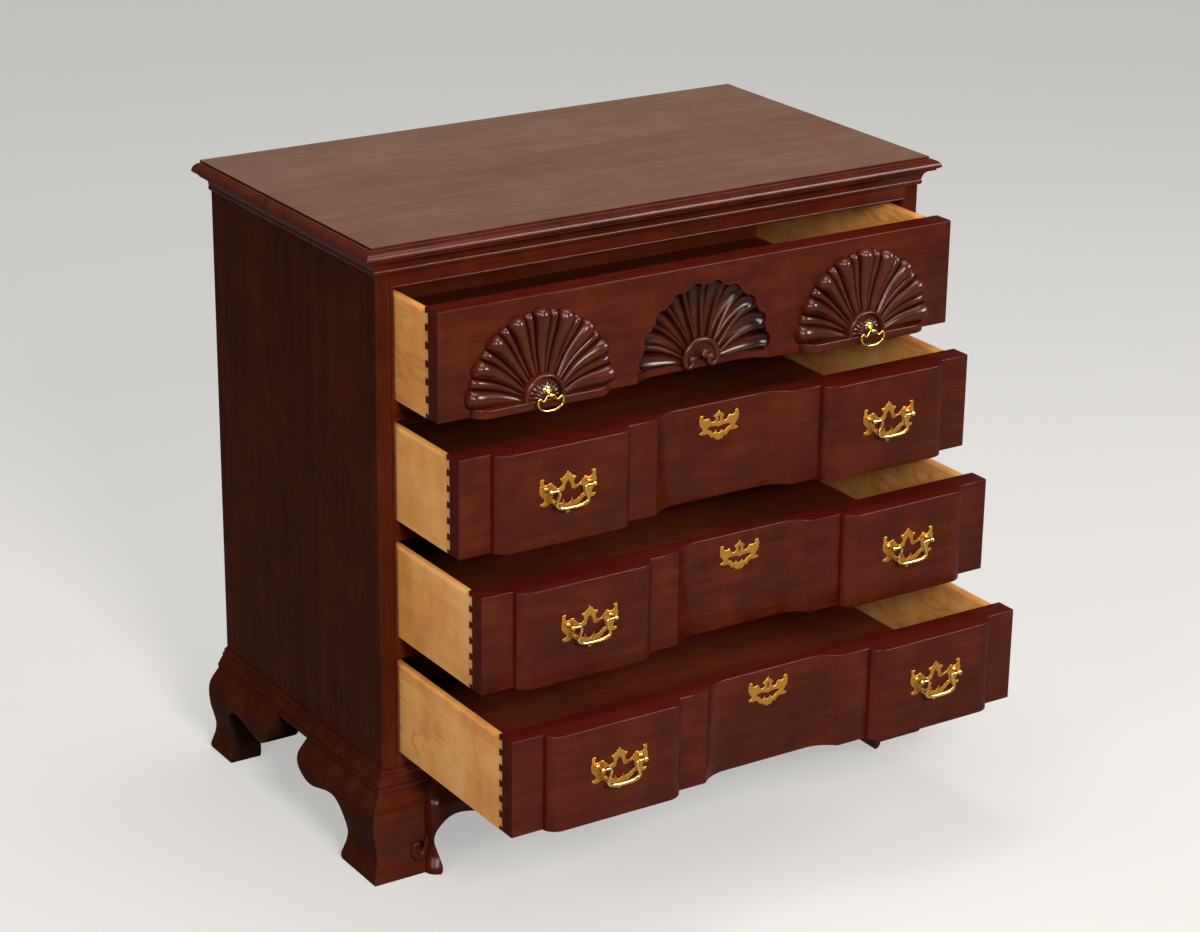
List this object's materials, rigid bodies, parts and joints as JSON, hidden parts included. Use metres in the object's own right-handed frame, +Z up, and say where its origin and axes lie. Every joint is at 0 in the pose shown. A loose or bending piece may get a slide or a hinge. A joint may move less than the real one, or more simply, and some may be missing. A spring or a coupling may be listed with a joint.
{
  "type": "chest of drawers",
  "caption": "Block front chest with dovetailed sliding drawers, carved shells, pierced brass bail pulls and ogee bracket feet.",
  "frame": {"origin": "centre of the part's box on the floor, with the drawers open as pictured", "axes": "+Z up, -Y towards the front that the drawers open to, +X to the viewer's right"},
  "size_m": [0.917, 0.7966, 0.874],
  "materials": {
    "mahogany": "polished red-brown mahogany",
    "side_mahogany": "polished dark mahogany",
    "maple": "clear sealed pale wood",
    "inner_wood": "thin brown sealer",
    "brass": "polished brass"
  },
  "bodies": {
    "case": {"top": "mahogany", "cove_moulding": "mahogany", "top_rail": "mahogany", "side_left": "side_mahogany", "side_right": "side_mahogany", "back_panel": "inner_wood", "drawer_blade_1": "mahogany", "dustboard_1": "inner_wood", "drawer_blade_2": "mahogany", "dustboard_2": "inner_wood", "drawer_blade_3": "mahogany", "dustboard_3": "inner_wood", "bottom_rail": "mahogany", "bottom_board": "inner_wood", "base_moulding_front": "mahogany", "base_moulding_left": "mahogany", "base_moulding_right": "mahogany", "foot_front_left": "mahogany", "foot_front_right": "mahogany", "foot_rear_left": "mahogany", "foot_rear_right": "mahogany"},
    "drop_bail_1_left": {"drop_bail_1_left": "brass"},
    "drop_bail_1_right": {"drop_bail_1_right": "brass"},
    "drawer_1": {"drawer_1_front": "mahogany", "drawer_1_side_left": "maple", "drawer_1_side_right": "maple", "drawer_1_back": "maple", "drawer_1_bottom": "inner_wood", "rosette_1_left": "brass", "rosette_1_right": "brass"},
    "bail_2_left": {"bail_2_left": "brass"},
    "bail_2_right": {"bail_2_right": "brass"},
    "drawer_2": {"drawer_2_front": "mahogany", "drawer_2_side_left": "maple", "drawer_2_side_right": "maple", "drawer_2_back": "maple", "drawer_2_bottom": "inner_wood", "pull_plate_2_left": "brass", "pull_plate_2_right": "brass", "escutcheon_2": "brass"},
    "bail_3_left": {"bail_3_left": "brass"},
    "bail_3_right": {"bail_3_right": "brass"},
    "drawer_3": {"drawer_3_front": "mahogany", "drawer_3_side_left": "maple", "drawer_3_side_right": "maple", "drawer_3_back": "maple", "drawer_3_bottom": "inner_wood", "pull_plate_3_left": "brass", "pull_plate_3_right": "brass", "escutcheon_3": "brass"},
    "bail_4_left": {"bail_4_left": "brass"},
    "bail_4_right": {"bail_4_right": "brass"},
    "drawer_4": {"drawer_4_front": "mahogany", "drawer_4_side_left": "maple", "drawer_4_side_right": "maple", "drawer_4_back": "maple", "drawer_4_bottom": "inner_wood", "pull_plate_4_left": "brass", "pull_plate_4_right": "brass", "escutcheon_4": "brass"}
  },
  "joints": [
    {"name": "drawer_1_slide", "type": "slide", "parent": "case", "child": "drawer_1", "axis": [0, -1, 0], "range_m": [-0.109, 0.221]},
    {"name": "drop_bail_1_left_hinge", "type": "hinge", "parent": "drawer_1", "child": "drop_bail_1_left", "pos_m": [-0.25325, -0.214, 0.689], "axis": [-1, 0, 0], "range_deg": [0, 100]},
    {"name": "drop_bail_1_right_hinge", "type": "hinge", "parent": "drawer_1", "child": "drop_bail_1_right", "pos_m": [0.25325, -0.214, 0.689], "axis": [-1, 0, 0], "range_deg": [0, 100]},
    {"name": "drawer_2_slide", "type": "slide", "parent": "case", "child": "drawer_2", "axis": [0, -1, 0], "range_m": [-0.16, 0.17]},
    {"name": "bail_2_left_hinge", "type": "hinge", "parent": "drawer_2", "child": "bail_2_left", "pos_m": [-0.25325, -0.2676, 0.5805], "axis": [-1, 0, 0], "range_deg": [0, 100]},
    {"name": "bail_2_right_hinge", "type": "hinge", "parent": "drawer_2", "child": "bail_2_right", "pos_m": [0.25325, -0.2676, 0.5805], "axis": [-1, 0, 0], "range_deg": [0, 100]},
    {"name": "drawer_3_slide", "type": "slide", "parent": "case", "child": "drawer_3", "axis": [0, -1, 0], "range_m": [-0.214, 0.116]},
    {"name": "bail_3_left_hinge", "type": "hinge", "parent": "drawer_3", "child": "bail_3_left", "pos_m": [-0.25325, -0.3216, 0.4165], "axis": [-1, 0, 0], "range_deg": [0, 100]},
    {"name": "bail_3_right_hinge", "type": "hinge", "parent": "drawer_3", "child": "bail_3_right", "pos_m": [0.25325, -0.3216, 0.4165], "axis": [-1, 0, 0], "range_deg": [0, 100]},
    {"name": "drawer_4_slide", "type": "slide", "parent": "case", "child": "drawer_4", "axis": [0, -1, 0], "range_m": [-0.287, 0.043]},
    {"name": "bail_4_left_hinge", "type": "hinge", "parent": "drawer_4", "child": "bail_4_left", "pos_m": [-0.25325, -0.3946, 0.2495], "axis": [-1, 0, 0], "range_deg": [0, 100]},
    {"name": "bail_4_right_hinge", "type": "hinge", "parent": "drawer_4", "child": "bail_4_right", "pos_m": [0.25325, -0.3946, 0.2495], "axis": [-1, 0, 0], "range_deg": [0, 100]}
  ]
}
